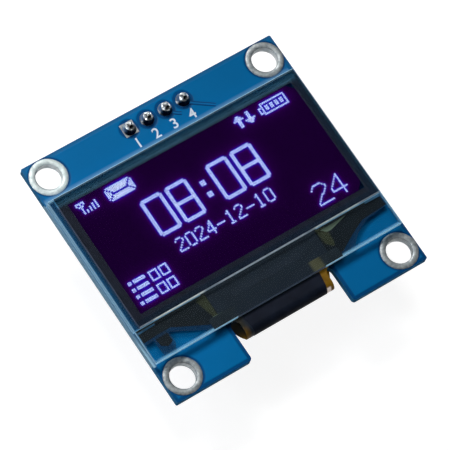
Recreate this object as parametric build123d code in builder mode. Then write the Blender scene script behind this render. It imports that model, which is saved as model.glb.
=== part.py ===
from build123d import *
import math
import os

# Small OLED display module, all lengths in millimetres.
# +Z points out of the display, +X to the right and +Y towards the pin header. The origin is the centre of
# the four mounting holes, on the board's rear face.

# Circuit board
board_width = 35.4
board_height = 33.5
board_thickness = 1.0
board_corner_radius = 0.2
plating_thickness = 0.05

# Mounting holes and their plated rings
hole_spacing_x = 30.6
hole_spacing_y = 28.6
hole_radius = 1.6
hole_ring_width = 0.75

# Notch in the lower edge, for the folded flexible circuit; it ends a little under the glass
notch_center_x = -0.1
notch_width = 14.4
notch_overlap = 0.3
notch_inner_radius = 1.0
notch_mouth_radius = 0.4

# Pin header
pin_count = 4
pin_pitch = 2.54
pin_width = 0.64
pin_point = 0.2
pin_front_reach = 1.35
pin_rear_reach = 6.0
pin_hole_clearance = 0.05
header_edge_distance = 1.95
header_land_radius = 0.88
housing_depth = 2.54
housing_height = 2.54
housing_corner = 0.5
solder_cone_height = 0.8
solder_cone_top = 0.12

# Display panel, placed from the board's centre
panel_center_x = -0.2
panel_center_y = -0.27
panel_width = 34.7
panel_height = 23.1
ledge_height = 4.67
adhesive_thickness = 0.1
adhesive_margin = 2.0
cap_thickness = 0.6
seal_thickness = 0.05
seal_width = 0.7
seal_inset = 0.1
substrate_thickness = 0.55
polariser_thickness = 0.2
polariser_left_inset = 0.75
polariser_right_inset = 0.2
polariser_top_inset = 0.12
glass_edge_break = 0.06

# Pixel layer, set in from the inside of the edge seal
view_left_inset = 1.17
view_right_inset = 0.25
view_top_inset = 0.5
view_bottom_inset = 0.66
view_corner = 0.9
pixel_layer_thickness = 0.03

# Etched pocket in the cap glass and the desiccant sheet in it
pocket_depth = 0.25
pocket_margin = 0.15
desiccant_thickness = 0.15
desiccant_margin = 1.2

# Driver chip behind the ledge and its black tape
chip_length = 9.6
chip_width = 0.95
chip_thickness = 0.35
chip_gap = 1.3
tape_width = 15.7
tape_thickness = 0.08
tape_gap = 0.15

# Flexible circuit: head under the ledge, neck through the notch, tail soldered behind the board
flex_thickness = 0.1
flex_head_width = 18.2
flex_head_overlap = 1.55
flex_head_radius = 0.3
flex_neck_width = 12.3
flex_neck_radius = 0.9
flex_fold_reach = 2.5
flare_start = 0.3
flare_run = 2.2
flare_width = 14.6
flex_tail_run = 3.6
flex_tail_length = 2.0
flex_tail_margin = 0.5

# Black cover film on the outside of the flexible circuit
cover_thickness = 0.04
cover_front_width = 10.9
cover_fold_width = 10.2
cover_glass_gap = 0.05
cover_tail_gap = 0.6

# Solder row between the tail and the board
finger_count = 30
finger_pitch = 0.7
finger_width = 0.4
finger_length = 1.3
finger_thickness = 0.02
tail_land_thickness = 0.03
tail_land_width = 0.42
tail_land_overhang = 0.9
tail_solder_height = 0.16
tail_solder_lap = 0.6

# Parts soldered behind the board: chip capacitors and resistors
chip_land_thickness = 0.03
chip_land_margin = 0.15
chip_land_reach = 0.45
end_cap_length = 0.3
end_cap_wall = 0.03
fillet_height_share = 0.55
fillet_hollow = 0.2
fillet_waist = 0.35
capacitor_size = (1.6, 0.8, 0.8)
resistor_size = (1.6, 0.8, 0.45)
chip_pitch = 2.4
lower_row_x = -5.1
lower_row_y = -2.6
lower_count = 5
upper_row_y = 5.4
left_row_x = -12.0
left_count = 4
right_row_x = 1.6
right_count = 5

# Voltage regulator and diode
regulator_length = 2.9
regulator_width = 1.3
regulator_height = 1.0
regulator_pitch = 0.95
regulator_lead_width = 0.4
diode_length = 1.7
diode_width = 1.25
diode_height = 0.9
diode_lead_width = 0.3
lead_thickness = 0.12
lead_foot = 0.4
lead_reach = 0.5
body_standoff = 0.08
body_draft = 8
body_edge = 0.08
package_row_y = 9.6
regulator_x = 9.0
diode_x = -9.0

# Levels and edges worked out from the sizes above
board_front = board_thickness
ring_radius = hole_radius + hole_ring_width
board_hole_radius = hole_radius + plating_thickness
header_y = board_height / 2 - header_edge_distance
pin_hole_radius = pin_width / math.sqrt(2) + pin_hole_clearance
header_hole_radius = pin_hole_radius + plating_thickness
land_front = board_front + plating_thickness
pin_tip = board_front + pin_front_reach
housing_front = -plating_thickness
housing_rear = housing_front - housing_height
pin_tail = housing_rear - pin_rear_reach
pin_positions = [
    ((index - (pin_count - 1) / 2) * pin_pitch, header_y) for index in range(pin_count)
]
hole_positions = [
    (side_x * hole_spacing_x / 2, side_y * hole_spacing_y / 2)
    for side_y in (1, -1)
    for side_x in (-1, 1)
]

cap_back = board_front + adhesive_thickness
cap_front = cap_back + cap_thickness
substrate_back = cap_front + seal_thickness
substrate_front = substrate_back + substrate_thickness
panel_left = panel_center_x - panel_width / 2
panel_right = panel_center_x + panel_width / 2
panel_top = panel_center_y + panel_height / 2
panel_bottom = panel_center_y - panel_height / 2
cap_bottom = panel_bottom + ledge_height
cap_height = panel_height - ledge_height
cap_center_y = panel_top - cap_height / 2

seal_reach = seal_inset + seal_width
view_left = panel_left + seal_reach + view_left_inset
view_right = panel_right - seal_reach - view_right_inset
view_top = panel_top - seal_reach - view_top_inset
view_bottom = cap_bottom + seal_reach + view_bottom_inset

# The flexible circuit's fold is a half turn about an axis along X.
flex_front = substrate_back
flex_rear = -tail_land_thickness
fold_outer_radius = (flex_front - flex_rear + flex_thickness) / 2
fold_inner_radius = fold_outer_radius - flex_thickness
fold_z = flex_front - fold_outer_radius
fold_edge_y = panel_bottom - flex_fold_reach
fold_y = fold_edge_y + fold_outer_radius
flex_head_end = panel_bottom + flex_head_overlap
flex_tail_width = (finger_count - 1) * finger_pitch + finger_width + 2 * flex_tail_margin
flare_end_y = fold_edge_y + flare_start + flare_run
tail_start_y = flare_end_y + flex_tail_run
tail_end_y = tail_start_y + flex_tail_length
finger_rear = flex_rear - flex_thickness - finger_thickness
cover_tail_end = tail_end_y - finger_length - cover_tail_gap
plan_margin = 1.0
strip_low = fold_edge_y - plan_margin

# Chip parts and packages: place (x, y, turn in degrees), length, width and height
capacitors = [
    ((lower_row_x + index * chip_pitch, lower_row_y, 90), *capacitor_size) for index in range(lower_count)
] + [
    ((left_row_x + index * chip_pitch, upper_row_y, 90), *capacitor_size) for index in range(left_count)
]
resistors = [
    ((right_row_x + index * chip_pitch, upper_row_y, 90), *resistor_size) for index in range(right_count)
]
chips = capacitors + resistors
regulator_place = (regulator_x, package_row_y, 0)
diode_place = (diode_x, package_row_y, 90)
regulator_spots = [(-regulator_pitch, -1), (regulator_pitch, -1), (0, 1)]
diode_spots = [(0, -1), (0, 1)]


def save(piece, name):
    """Label a finished piece and write its STEP file."""
    piece.label = name
    export_step(piece, f"parts/{name}.step")


def make_board():
    """Laminate with the notch, the mounting holes and the header holes."""
    with BuildPart() as board:
        with BuildSketch() as outline:
            Rectangle(board_width, board_height)
            fillet(outline.vertices(), board_corner_radius)
            notch_depth = panel_bottom + notch_overlap + board_height / 2
            with Locations((notch_center_x, -board_height / 2 + notch_depth / 2)):
                Rectangle(notch_width, notch_depth, mode=Mode.SUBTRACT)
            notch_sides = (notch_center_x - notch_width / 2, notch_center_x + notch_width / 2)
            notch_corners = outline.vertices().filter_by_position(Axis.X, *notch_sides)
            fillet(notch_corners.group_by(Axis.Y)[-1], notch_inner_radius)
            notch_corners = outline.vertices().filter_by_position(Axis.X, *notch_sides)
            fillet(notch_corners.group_by(Axis.Y)[0], notch_mouth_radius)
            with Locations(*hole_positions):
                Circle(board_hole_radius, mode=Mode.SUBTRACT)
            with Locations(*pin_positions):
                Circle(header_hole_radius, mode=Mode.SUBTRACT)
        extrude(amount=board_thickness)
    return board.part


def make_eyelet(position, bore_radius, rim_reach, square=False):
    """Plated through hole: a thin barrel with a round or square rim on each face of the board."""
    with BuildPart() as eyelet:
        with BuildSketch():
            with Locations(position):
                Circle(bore_radius + plating_thickness)
        extrude(amount=board_thickness)
        for level in (-plating_thickness, board_front):
            with BuildSketch(Plane.XY.offset(level)):
                with Locations(position):
                    if square:
                        Rectangle(2 * rim_reach, 2 * rim_reach)
                    else:
                        Circle(rim_reach)
            extrude(amount=plating_thickness)
        with BuildSketch(Plane.XY.offset(-plating_thickness)):
            with Locations(position):
                Circle(bore_radius)
        extrude(amount=board_thickness + 2 * plating_thickness, mode=Mode.SUBTRACT)
    return eyelet.part


def make_pin(position):
    """Square header wire with a blunt point at each end."""
    with BuildPart() as pin:
        with BuildSketch(Plane.XY.offset(pin_tail)):
            with Locations(position):
                Rectangle(pin_width, pin_width)
        extrude(amount=pin_tip - pin_tail)
        ends = pin.faces().sort_by(Axis.Z)
        chamfer(ends[0].edges() + ends[-1].edges(), pin_point)
    return pin.part


def make_header_solder(position):
    """Solder that fills the barrel round the pin and climbs it in a hollow cone."""
    cone_foot = header_land_radius
    cone_head = pin_width / math.sqrt(2) + solder_cone_top
    cone_waist = (
        cone_head + fillet_hollow * (cone_foot - cone_head),
        land_front + fillet_hollow * solder_cone_height,
    )
    middle = Plane((*position, 0))
    with BuildPart() as joint:
        with BuildSketch(Plane(middle.origin, x_dir=middle.x_dir, z_dir=-middle.y_dir)):
            with BuildLine():
                Polyline(
                    (0, 0),
                    (pin_hole_radius, 0),
                    (pin_hole_radius, land_front),
                    (cone_foot, land_front),
                )
                Bezier((cone_foot, land_front), cone_waist, (cone_head, land_front + solder_cone_height))
                Polyline(
                    (cone_head, land_front + solder_cone_height),
                    (0, land_front + solder_cone_height),
                    (0, 0),
                )
            make_face()
        revolve(axis=Axis(middle.origin, middle.z_dir))
        with BuildSketch(middle):
            Rectangle(pin_width, pin_width)
        extrude(amount=land_front + solder_cone_height, mode=Mode.SUBTRACT)
    return joint.part


def make_housing():
    """Black spacer strip of the header: one eight-sided cell for each pin, with a square hole."""
    with BuildSketch() as cell:
        Rectangle(pin_pitch, housing_depth)
        chamfer(cell.vertices(), housing_corner)
    with BuildPart() as housing:
        with BuildSketch(Plane.XY.offset(housing_rear)):
            with Locations(*pin_positions):
                add(cell.sketch)
                Rectangle(pin_width, pin_width, mode=Mode.SUBTRACT)
        extrude(amount=housing_height)
    return housing.part


def make_plate(width, height, center, level, thickness, edge_break=0):
    """Flat rectangular sheet, with its long edges broken where edge_break is given."""
    with BuildPart() as plate:
        with BuildSketch(Plane.XY.offset(level)):
            with Locations(center):
                Rectangle(width, height)
        extrude(amount=thickness)
        if edge_break:
            chamfer(plate.edges().filter_by(GeomType.LINE), edge_break)
    return plate.part


def make_cap_glass():
    """Rear glass with the pocket etched in its inner face."""
    pocket_inset = 2 * (seal_reach + pocket_margin)
    with BuildPart() as cap:
        with BuildSketch(Plane.XY.offset(cap_back)):
            with Locations((panel_center_x, cap_center_y)):
                Rectangle(panel_width, cap_height)
        extrude(amount=cap_thickness)
        chamfer(cap.faces().sort_by(Axis.Z)[0].edges(), glass_edge_break)
        with BuildSketch(Plane.XY.offset(cap_front)):
            with Locations((panel_center_x, cap_center_y)):
                Rectangle(panel_width - pocket_inset, cap_height - pocket_inset)
        extrude(amount=-pocket_depth, mode=Mode.SUBTRACT)
    return cap.part


def make_edge_seal():
    """Thin frame of seal between the two glasses."""
    outer_width = panel_width - 2 * seal_inset
    outer_height = cap_height - 2 * seal_inset
    with BuildPart() as seal:
        with BuildSketch(Plane.XY.offset(cap_front)):
            with Locations((panel_center_x, cap_center_y)):
                Rectangle(outer_width, outer_height)
                Rectangle(outer_width - 2 * seal_width, outer_height - 2 * seal_width, mode=Mode.SUBTRACT)
        extrude(amount=seal_thickness)
    return seal.part


def make_pixel_layer():
    """Light-emitting stack behind the substrate, with its two right corners cut off."""
    with BuildPart() as layer:
        with BuildSketch(Plane.XY.offset(substrate_back)) as field:
            with Locations(((view_left + view_right) / 2, (view_top + view_bottom) / 2)):
                Rectangle(view_right - view_left, view_top - view_bottom)
            chamfer(field.vertices().group_by(Axis.X)[-1], view_corner)
        extrude(amount=-pixel_layer_thickness)
    return layer.part


def make_flex_plan(front_outline, rear_outline):
    """Solid limits that cut a folded strip to its outline, seen from the front and from behind.

    Both outlines are half outlines, given from the middle outwards and back to the middle.
    """
    middle = Plane((panel_center_x, 0, fold_z))
    reach = fold_outer_radius + cover_thickness + plan_margin
    with BuildPart() as plan:
        for outline, amount in ((front_outline, reach), (rear_outline, -reach)):
            with BuildSketch(middle):
                with BuildLine():
                    Polyline(*outline)
                    mirror(about=Plane.YZ)
                make_face()
            extrude(amount=amount)
    return plan.part


def make_folded_strip(outer_radius, inner_radius, front_end, rear_end, plan):
    """Strip folded half round the fold axis, cut to its plan."""
    with BuildPart() as strip:
        with BuildSketch(Plane.YZ.offset(panel_center_x)):
            with BuildLine():
                Line((front_end, fold_z + outer_radius), (fold_y, fold_z + outer_radius))
                CenterArc((fold_y, fold_z), outer_radius, 90, 180)
                Polyline(
                    (fold_y, fold_z - outer_radius),
                    (rear_end, fold_z - outer_radius),
                    (rear_end, fold_z - inner_radius),
                    (fold_y, fold_z - inner_radius),
                )
                CenterArc((fold_y, fold_z), inner_radius, 270, -180)
                Polyline(
                    (fold_y, fold_z + inner_radius),
                    (front_end, fold_z + inner_radius),
                    (front_end, fold_z + outer_radius),
                )
            make_face()
        extrude(amount=flex_tail_width, both=True)
        add(plan, mode=Mode.INTERSECT)
    return strip.part


def make_flex_circuit():
    """Polyimide strip: head under the ledge, neck, fold, and tail behind the board."""
    front_outline = (
        (0, strip_low),
        (flex_neck_width / 2, strip_low),
        (flex_neck_width / 2, panel_bottom),
        (flex_head_width / 2, panel_bottom),
        (flex_head_width / 2, flex_head_end),
        (0, flex_head_end),
    )
    rear_outline = (
        (0, strip_low),
        (flex_neck_width / 2, strip_low),
        (flex_neck_width / 2, fold_edge_y + flare_start),
        (flare_width / 2, flare_end_y),
        (flex_tail_width / 2, tail_start_y),
        (flex_tail_width / 2, tail_end_y),
        (0, tail_end_y),
    )
    plan = make_flex_plan(front_outline, rear_outline)
    with BuildPart() as circuit:
        add(make_folded_strip(fold_outer_radius, fold_inner_radius, flex_head_end, tail_end_y, plan))
        upright = circuit.edges().filter_by(Axis.Z).filter_by_position(Axis.Z, fold_z, flex_front)
        across = upright.group_by(Axis.X)
        head_corners = across[0] + across[-1]
        neck_corners = across[1] + across[-2]
        fillet(head_corners, flex_head_radius)
        fillet(neck_corners, flex_neck_radius)
    return circuit.part


def make_flex_cover():
    """Black film on the outside of the flexible circuit, from the glass's edge round to the tail."""
    cover_front_end = panel_bottom - cover_glass_gap
    inset = (flex_neck_width - cover_fold_width) / 2
    front_outline = (
        (0, strip_low),
        (cover_fold_width / 2, strip_low),
        (cover_fold_width / 2, fold_edge_y),
        (cover_front_width / 2, cover_front_end),
        (0, cover_front_end),
    )
    rear_outline = (
        (0, strip_low),
        (cover_fold_width / 2, strip_low),
        (cover_fold_width / 2, fold_edge_y + flare_start),
        (flare_width / 2 - inset, flare_end_y),
        (flex_tail_width / 2 - inset, tail_start_y),
        (flex_tail_width / 2 - inset, cover_tail_end),
        (0, cover_tail_end),
    )
    plan = make_flex_plan(front_outline, rear_outline)
    outer_radius = fold_outer_radius + cover_thickness
    return make_folded_strip(outer_radius, fold_outer_radius, cover_front_end, cover_tail_end, plan)


def make_tail_row(width, low_y, high_y, top, bottom):
    """Row of flat strips, one for each conductor of the tail."""
    with BuildPart() as row:
        with BuildSketch(Plane.XY.offset(bottom)):
            with Locations((panel_center_x, (low_y + high_y) / 2)):
                with GridLocations(finger_pitch, 0, finger_count, 1):
                    Rectangle(width, high_y - low_y)
        extrude(amount=top - bottom)
    return row.part


def make_tail_solder():
    """Row of solder joints that run from the board's lands over the ends of the fingers."""
    foot = (tail_end_y + tail_land_overhang, flex_rear)
    crown = (tail_end_y, finger_rear - tail_solder_height)
    toe = (tail_end_y - tail_solder_lap, finger_rear)
    first_x = panel_center_x - (finger_count - 1) / 2 * finger_pitch
    with BuildPart() as joints:
        for index in range(finger_count):
            with BuildSketch(Plane.YZ.offset(first_x + index * finger_pitch)):
                with BuildLine():
                    ThreePointArc(foot, crown, toe)
                    Polyline(toe, (tail_end_y, finger_rear), (tail_end_y, flex_rear), foot)
                make_face()
            extrude(amount=finger_width / 2, both=True)
    return joints.part


def rear_plane(x, y, angle):
    """Plane on the board's rear face that looks away from the board."""
    return Plane(origin=(x, y, 0), x_dir=Vector(1, 0, 0).rotate(Axis.Z, angle), z_dir=(0, 0, -1))


def make_chip_body(place, length, width, height):
    """Ceramic block of a chip part, as it lies inside its two end caps."""
    with BuildPart() as body:
        with BuildSketch(rear_plane(*place).offset(chip_land_thickness + end_cap_wall)):
            Rectangle(length - 2 * end_cap_wall, width - 2 * end_cap_wall)
        extrude(amount=height - 2 * end_cap_wall)
    return body.part


def make_end_caps(chips):
    """Metal end caps that wrap both ends of every chip part."""
    with BuildPart() as caps:
        for place, length, width, height in chips:
            base = rear_plane(*place).offset(chip_land_thickness)
            with BuildSketch(base):
                with GridLocations(length - end_cap_length, 0, 2, 1):
                    Rectangle(end_cap_length, width)
            extrude(amount=height)
            with BuildSketch(base.offset(end_cap_wall)):
                Rectangle(length - 2 * end_cap_wall, width - 2 * end_cap_wall)
            extrude(amount=height - 2 * end_cap_wall, mode=Mode.SUBTRACT)
    return caps.part


def make_chip_lands(chips):
    """Tinned lands under both ends of every chip part."""
    with BuildPart() as lands:
        for place, length, width, height in chips:
            land_length = end_cap_length + chip_land_reach
            with BuildSketch(rear_plane(*place)):
                with GridLocations(length - end_cap_length + chip_land_reach, 0, 2, 1):
                    Rectangle(land_length, width + 2 * chip_land_margin)
            extrude(amount=chip_land_thickness)
    return lands.part


def make_chip_solder(chips):
    """Hollow solder fillets at both ends of every chip part."""
    with BuildPart() as fillets:
        for place, length, width, height in chips:
            base = rear_plane(*place).offset(chip_land_thickness)
            rise = fillet_height_share * height
            for side in (-1, 1):
                heel = side * length / 2
                toe = side * (length / 2 + chip_land_reach)
                section = Plane(base.origin, x_dir=base.x_dir, z_dir=-base.y_dir)
                with BuildSketch(section):
                    with BuildLine():
                        hollow = (heel + (toe - heel) * fillet_waist, rise * fillet_waist)
                        Polyline((heel, rise), hollow, (toe, 0), (heel, 0), close=True)
                    make_face()
                extrude(amount=width / 2, both=True)
    return fillets.part


def make_package_body(place, length, width, height):
    """Moulded package, widest at its parting line and drafted towards both faces."""
    base = rear_plane(*place).offset(chip_land_thickness + body_standoff + height / 2)
    with BuildPart() as body:
        for amount in (height / 2, -height / 2):
            with BuildSketch(base):
                Rectangle(length, width)
            extrude(amount=amount, taper=body_draft)
        chamfer(body.faces().sort_by(Axis.Z)[0].edges(), body_edge)
    return body.part


def make_gull_leads(place, spots, lead_width, body_width, body_height):
    """Gull wing leads from a package's parting line down to the lands."""
    base = rear_plane(*place)
    middle = body_standoff + body_height / 2
    shoulder = lead_reach / 2
    with BuildPart() as leads:
        for along, side in spots:
            origin = (
                base.origin
                + base.x_dir * along
                + base.y_dir * (side * body_width / 2)
                + base.z_dir * chip_land_thickness
            )
            section = Plane(origin, x_dir=base.y_dir * side, z_dir=base.x_dir * side)
            with BuildSketch(section):
                with BuildLine():
                    Polyline(
                        (0, middle + lead_thickness / 2),
                        (shoulder, middle + lead_thickness / 2),
                        (lead_reach, lead_thickness),
                        (lead_reach + lead_foot, lead_thickness),
                        (lead_reach + lead_foot, 0),
                        (lead_reach - lead_thickness / 2, 0),
                        (shoulder - lead_thickness / 2, middle - lead_thickness / 2),
                        (0, middle - lead_thickness / 2),
                        close=True,
                    )
                make_face()
            extrude(amount=lead_width / 2, both=True)
    return leads.part


def make_lead_lands(packages):
    """Tinned lands under the feet of the packages' leads."""
    with BuildPart() as lands:
        for place, spots, lead_width, body_width in packages:
            reach = body_width / 2 + lead_reach + lead_foot / 2
            with BuildSketch(rear_plane(*place)):
                for along, side in spots:
                    with Locations((along, side * reach)):
                        Rectangle(lead_width + 2 * chip_land_margin, lead_foot + 2 * chip_land_margin)
            extrude(amount=chip_land_thickness)
    return lands.part


os.makedirs("parts", exist_ok=True)

# Circuit board and its plated holes
save(make_board(), "circuit_board")
for number, position in enumerate(hole_positions, start=1):
    save(make_eyelet(position, hole_radius, ring_radius), f"hole_plating_{number}")

# Pin header with its lands and solder joints; the first land is square
save(make_housing(), "header_housing")
for number, position in enumerate(pin_positions, start=1):
    save(make_pin(position), f"header_pin_{number}")
    land = make_eyelet(position, pin_hole_radius, header_land_radius, square=number == 1)
    save(land, f"header_land_{number}")
    save(make_header_solder(position), f"header_solder_{number}")

# Display panel, from the board forwards
adhesive_width = panel_width - 2 * adhesive_margin
adhesive_height = cap_height - 2 * adhesive_margin
cap_center = (panel_center_x, cap_center_y)
save(
    make_plate(adhesive_width, adhesive_height, cap_center, board_front, adhesive_thickness),
    "panel_adhesive",
)
save(make_cap_glass(), "cap_glass")
desiccant_inset = 2 * (seal_reach + pocket_margin + desiccant_margin)
save(
    make_plate(
        panel_width - desiccant_inset,
        cap_height - desiccant_inset,
        cap_center,
        cap_front - pocket_depth,
        desiccant_thickness,
    ),
    "desiccant_sheet",
)
save(make_edge_seal(), "edge_seal")
save(make_pixel_layer(), "pixel_layer")
save(
    make_plate(
        panel_width,
        panel_height,
        (panel_center_x, panel_center_y),
        substrate_back,
        substrate_thickness,
        glass_edge_break,
    ),
    "substrate_glass",
)
polariser_width = panel_width - polariser_left_inset - polariser_right_inset
polariser_height = cap_height - polariser_top_inset
polariser_center = (
    panel_left + polariser_left_inset + polariser_width / 2,
    cap_bottom + polariser_height / 2,
)
save(
    make_plate(polariser_width, polariser_height, polariser_center, substrate_front, polariser_thickness),
    "polariser",
)

# Driver chip behind the ledge, and the black tape behind it
chip_top = cap_bottom - chip_gap
chip_back = substrate_back - chip_thickness
chip_center = (panel_center_x, chip_top - chip_width / 2)
save(make_plate(chip_length, chip_width, chip_center, chip_back, chip_thickness), "driver_chip")
tape_top = cap_bottom - tape_gap
tape_bottom = flex_head_end + tape_gap
save(
    make_plate(
        tape_width,
        tape_top - tape_bottom,
        (panel_center_x, (tape_top + tape_bottom) / 2),
        chip_back - tape_thickness,
        tape_thickness,
    ),
    "chip_tape",
)

# Flexible circuit with its cover film, and the solder row that joins its tail to the board
save(make_flex_circuit(), "flex_circuit")
save(make_flex_cover(), "flex_cover")
finger_front = flex_rear - flex_thickness
finger_end_y = tail_end_y - finger_length
save(make_tail_row(finger_width, finger_end_y, tail_end_y, finger_front, finger_rear), "tail_fingers")
land_end_y = tail_end_y + tail_land_overhang
save(make_tail_row(tail_land_width, finger_end_y, land_end_y, 0, flex_rear), "tail_lands")
save(make_tail_solder(), "tail_solder")

# Chip capacitors and resistors
for number, chip in enumerate(capacitors, start=1):
    save(make_chip_body(*chip), f"capacitor_{number}")
for number, chip in enumerate(resistors, start=1):
    save(make_chip_body(*chip), f"resistor_{number}")
save(make_end_caps(chips), "chip_end_caps")
save(make_chip_lands(chips), "chip_lands")
save(make_chip_solder(chips), "chip_solder")

# Voltage regulator and diode
save(
    make_package_body(regulator_place, regulator_length, regulator_width, regulator_height),
    "regulator_body",
)
save(
    make_gull_leads(
        regulator_place, regulator_spots, regulator_lead_width, regulator_width, regulator_height
    ),
    "regulator_leads",
)
save(make_package_body(diode_place, diode_length, diode_width, diode_height), "diode_body")
save(
    make_gull_leads(diode_place, diode_spots, diode_lead_width, diode_width, diode_height),
    "diode_leads",
)
packages = [
    (regulator_place, regulator_spots, regulator_lead_width, regulator_width),
    (diode_place, diode_spots, diode_lead_width, diode_width),
]
save(make_lead_lands(packages), "lead_lands")
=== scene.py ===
"""Looks of a small OLED display module: finishes, lit picture, print and studio round the fixed frame."""

import logging
import math
from collections.abc import Callable, Iterable, Iterator
from contextlib import contextmanager
from dataclasses import dataclass, field
from enum import Enum

import bpy
import numpy as np
from mathutils import Matrix, Vector


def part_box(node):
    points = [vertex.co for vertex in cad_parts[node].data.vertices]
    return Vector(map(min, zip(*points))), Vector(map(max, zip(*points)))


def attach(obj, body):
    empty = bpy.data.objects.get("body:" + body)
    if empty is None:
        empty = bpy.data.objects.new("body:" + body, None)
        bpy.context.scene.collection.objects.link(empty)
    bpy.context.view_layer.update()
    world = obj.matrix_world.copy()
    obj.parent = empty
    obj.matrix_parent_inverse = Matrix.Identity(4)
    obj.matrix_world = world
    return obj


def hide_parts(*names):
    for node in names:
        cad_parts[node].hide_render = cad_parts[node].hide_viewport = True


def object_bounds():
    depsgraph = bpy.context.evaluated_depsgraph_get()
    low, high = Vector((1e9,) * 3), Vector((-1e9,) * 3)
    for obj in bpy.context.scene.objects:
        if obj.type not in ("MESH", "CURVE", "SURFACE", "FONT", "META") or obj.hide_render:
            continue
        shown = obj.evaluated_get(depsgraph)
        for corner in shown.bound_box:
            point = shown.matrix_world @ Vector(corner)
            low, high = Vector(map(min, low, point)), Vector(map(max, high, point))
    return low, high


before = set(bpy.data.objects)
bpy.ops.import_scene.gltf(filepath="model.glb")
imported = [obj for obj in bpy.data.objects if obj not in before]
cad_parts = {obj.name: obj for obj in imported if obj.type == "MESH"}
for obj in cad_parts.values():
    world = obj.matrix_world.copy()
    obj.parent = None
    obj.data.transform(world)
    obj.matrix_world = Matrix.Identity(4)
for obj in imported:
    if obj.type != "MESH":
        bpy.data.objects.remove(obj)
cad_low, cad_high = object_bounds()

LOG = logging.getLogger("display_module")
MM = 0.001
BODY = "root"
# Two places closer than this, in metres, are the same place.
SAME_PLACE = 1e-7
# A face looks along an axis when its outward direction has more than this share along it.
FACING = 0.5

Colour = tuple[float, float, float, float]
Point = tuple[float, float]
Outline = tuple[Point, ...]
Material = bpy.types.Material
Node = bpy.types.Node
Object = bpy.types.Object
Socket = bpy.types.NodeSocket
Input = float | str | tuple | Node | Socket


class Side(Enum):
    """Faces of the circuit board that carry print and tracks."""

    FRONT = 1
    REAR = -1


def linear(code: str) -> Colour:
    """Turn an sRGB hex colour into linear light.

    Args:
        code: colour as "#rrggbb".

    Returns:
        Red, green, blue and an alpha of one.
    """
    channels = [int(code[start : start + 2], 16) / 255 for start in (1, 3, 5)]
    light = [c / 12.92 if c <= 0.04045 else ((c + 0.055) / 1.055) ** 2.4 for c in channels]
    return (light[0], light[1], light[2], 1.0)


def label(socket: Socket) -> str:
    """Give an input's name as a word in lower case."""
    return socket.name.lower().replace(" ", "_")


class Recipe:
    """Material in the making, with its object coordinates whole (`place`) and as single values (`axes`).

    The place is "X", "Y" and "Z" there, and the outward direction "NX", "NY" and "NZ".
    """

    def __init__(self, name: str) -> None:
        """Start the material.

        Args:
            name: its name.
        """
        self.material = bpy.data.materials.new(name)
        self.material.use_nodes = True
        self.tree = self.material.node_tree
        self.tree.nodes.clear()
        coordinates = self.add("TexCoord").outputs
        self.place = coordinates["Object"]
        self.axes = {}
        for start, output in (("", "Object"), ("N", "Normal")):
            split = self.add("SeparateXYZ", coordinates[output])
            self.axes |= {start + axis: split.outputs[axis] for axis in "XYZ"}

    def add(self, kind: str, *inputs: Input, **named: Input) -> Node:
        """Add one shader node with its settings and links.

        Args:
            kind: the node's type, without its "ShaderNode".
            inputs: for the first inputs: numbers, sRGB hex colours, and nodes or sockets to link.
            named: the same for inputs by name, and the node's own settings.

        Returns:
            The new node.
        """
        node = self.tree.nodes.new(f"ShaderNode{kind}")
        known = {label(socket) for socket in node.inputs}
        for name, value in named.items():
            if name not in known:
                setattr(node, name, value)
        live = [socket for socket in node.inputs if socket.enabled]
        by_name = {label(socket): socket for socket in reversed(live)}
        chosen = [*zip(live, inputs), *((by_name[name], named[name]) for name in named if name in known)]
        for socket, value in chosen:
            if isinstance(value, Node):
                value = next(output for output in value.outputs if output.enabled)
            if isinstance(value, Socket):
                self.tree.links.new(value, socket)
            else:
                socket.default_value = linear(value) if isinstance(value, str) else value
        return node

    def offset(self, value: Input, middle: float = 0.0) -> Node:
        """Measure how far a value lies from a middle, on either side of it.

        Args:
            value: the value.
            middle: the middle.

        Returns:
            The distance, never negative.
        """
        shift = self.add("Math", value, middle, operation="SUBTRACT")
        return self.add("Math", shift, operation="ABSOLUTE")

    def cloud(self, tone: Input, size: float, low: float, high: float, detail: float = 4.0) -> Node:
        """Lay soft lighter and darker clouds over a colour.

        Args:
            tone: the colour.
            size: size of a cloud in millimetres.
            low: factor in the darkest place.
            high: factor in the lightest place.
            detail: how ragged the clouds are.

        Returns:
            The clouded colour.
        """
        noise = self.add("TexNoise", self.place, scale=1 / (size * MM), detail=detail)
        shade = self.add("MapRange", noise, to_min=low, to_max=high)
        return self.add("Mix", 1.0, tone, shade, data_type="RGBA", blend_type="MULTIPLY")

    def blend(self, steps: Iterable[tuple[str, Input, Input, Input]]) -> Node:
        """Mix colours step by step, where a step can use an earlier one by its name.

        Args:
            steps: for each its name, the share of the second colour, and both colours.

        Returns:
            The last step's colour.
        """
        done = {}
        for name, share, *colours in steps:
            last = self.add("Mix", share, *(done.get(c, c) for c in colours), data_type="RGBA")
            done[name] = last
        return last

    def finish(self, kind: str, *inputs: Input, **named: Input) -> Material:
        """Add the last shader and the output.

        Args:
            kind: the last shader's type, as for `add`.
            inputs: its first inputs.
            named: its inputs by name.

        Returns:
            The finished material.
        """
        self.add("OutputMaterial", self.add(kind, *inputs, **named))
        return self.material


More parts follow.
